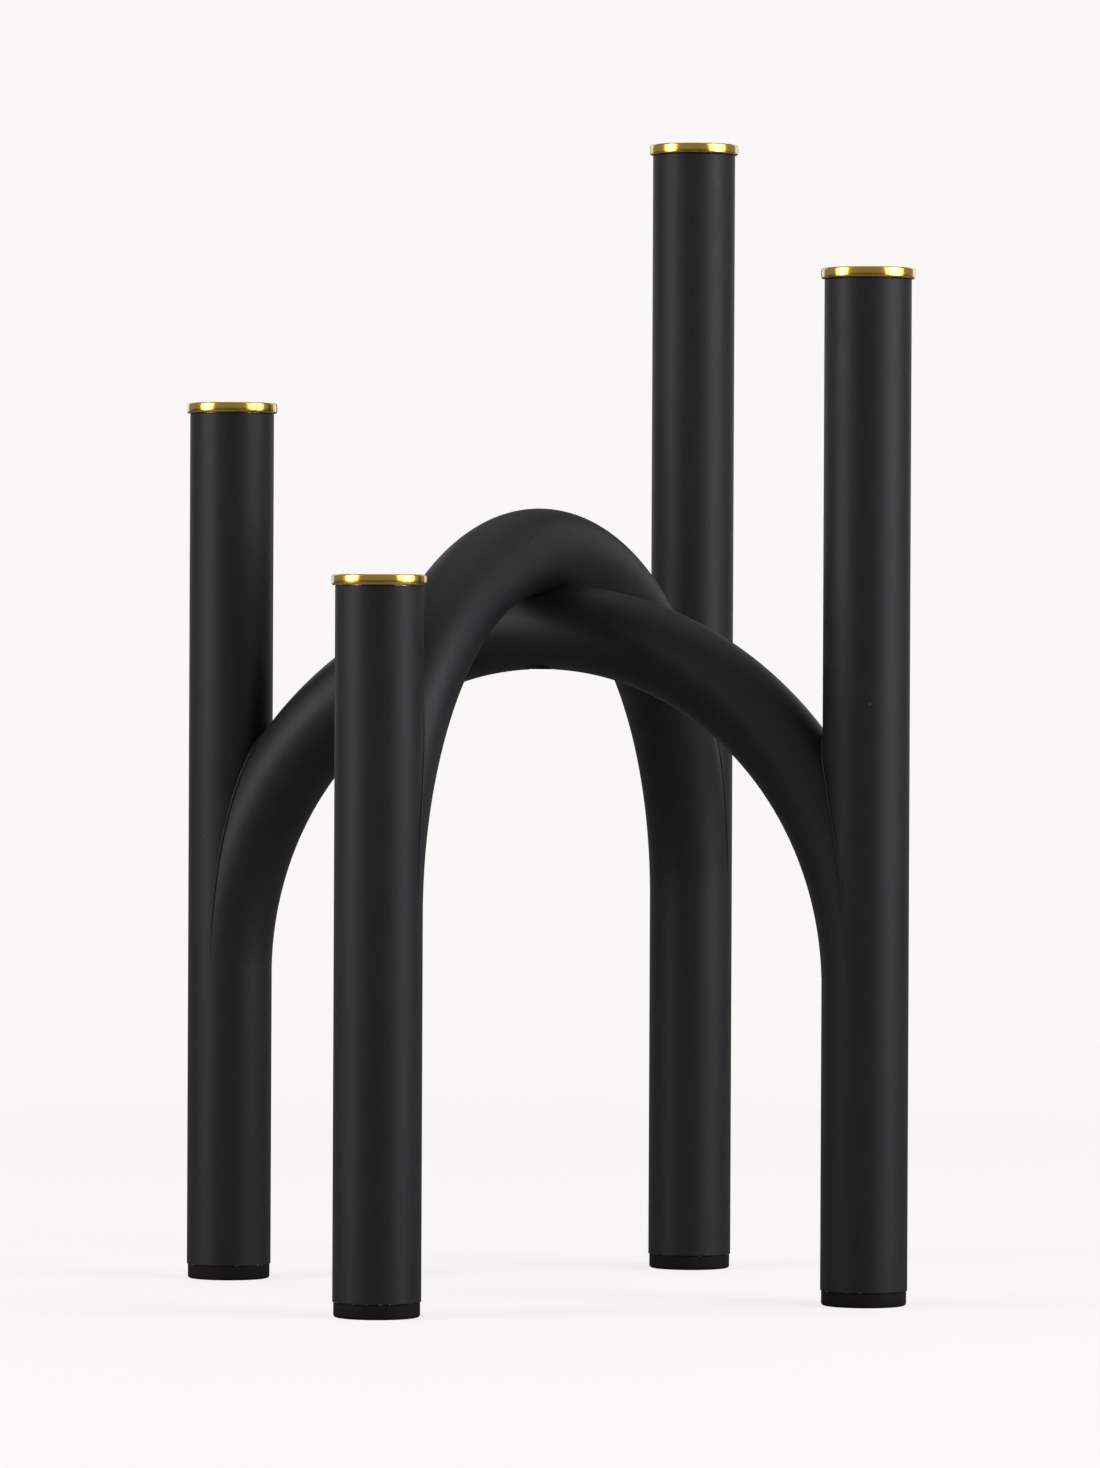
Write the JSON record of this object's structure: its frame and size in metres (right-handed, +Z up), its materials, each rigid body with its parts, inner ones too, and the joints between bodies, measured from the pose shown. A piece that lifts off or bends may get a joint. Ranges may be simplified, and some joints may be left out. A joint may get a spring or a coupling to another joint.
{
  "type": "tabletop candelabra",
  "caption": "Candelabra of upright round tubes in stepped heights, tied by crossing tube arches, with a lift-out candle cup in each tube and a rubber foot under it.",
  "frame": {"origin": "on the table, midway between the posts, under the crossing of the arches", "axes": "+Z up, +X along the lower arch towards the right post, +Y along the upper arch towards the rear post"},
  "size_m": [0.234, 0.234, 0.342],
  "materials": {
    "tube_coat": "satin black powder coat",
    "cup_gold": "polished",
    "black_rubber": "matt",
    "zinc_steel": "zinc plated"
  },
  "bodies": {
    "frame": {"post_left": "tube_coat", "post_front": "tube_coat", "post_rear": "tube_coat", "post_right": "tube_coat", "arch_lower": "tube_coat", "arch_upper": "tube_coat", "weld_left": "tube_coat", "weld_front": "tube_coat", "weld_rear": "tube_coat", "weld_right": "tube_coat", "foot_left": "black_rubber", "foot_front": "black_rubber", "foot_rear": "black_rubber", "foot_right": "black_rubber", "threaded_boss": "zinc_steel", "crossing_screw": "zinc_steel", "crossing_washer": "zinc_steel", "access_plug": "black_rubber"},
    "cup_left": {"cup_left": "cup_gold"},
    "cup_front": {"cup_front": "cup_gold"},
    "cup_rear": {"cup_rear": "cup_gold"},
    "cup_right": {"cup_right": "cup_gold"}
  },
  "joints": [
    {"name": "cup_left_lift", "type": "slide", "parent": "frame", "child": "cup_left", "axis": [0, 0, 1], "range_m": [0, 0.03]},
    {"name": "cup_front_lift", "type": "slide", "parent": "frame", "child": "cup_front", "axis": [0, 0, 1], "range_m": [0, 0.03]},
    {"name": "cup_rear_lift", "type": "slide", "parent": "frame", "child": "cup_rear", "axis": [0, 0, 1], "range_m": [0, 0.03]},
    {"name": "cup_right_lift", "type": "slide", "parent": "frame", "child": "cup_right", "axis": [0, 0, 1], "range_m": [0, 0.03]}
  ]
}
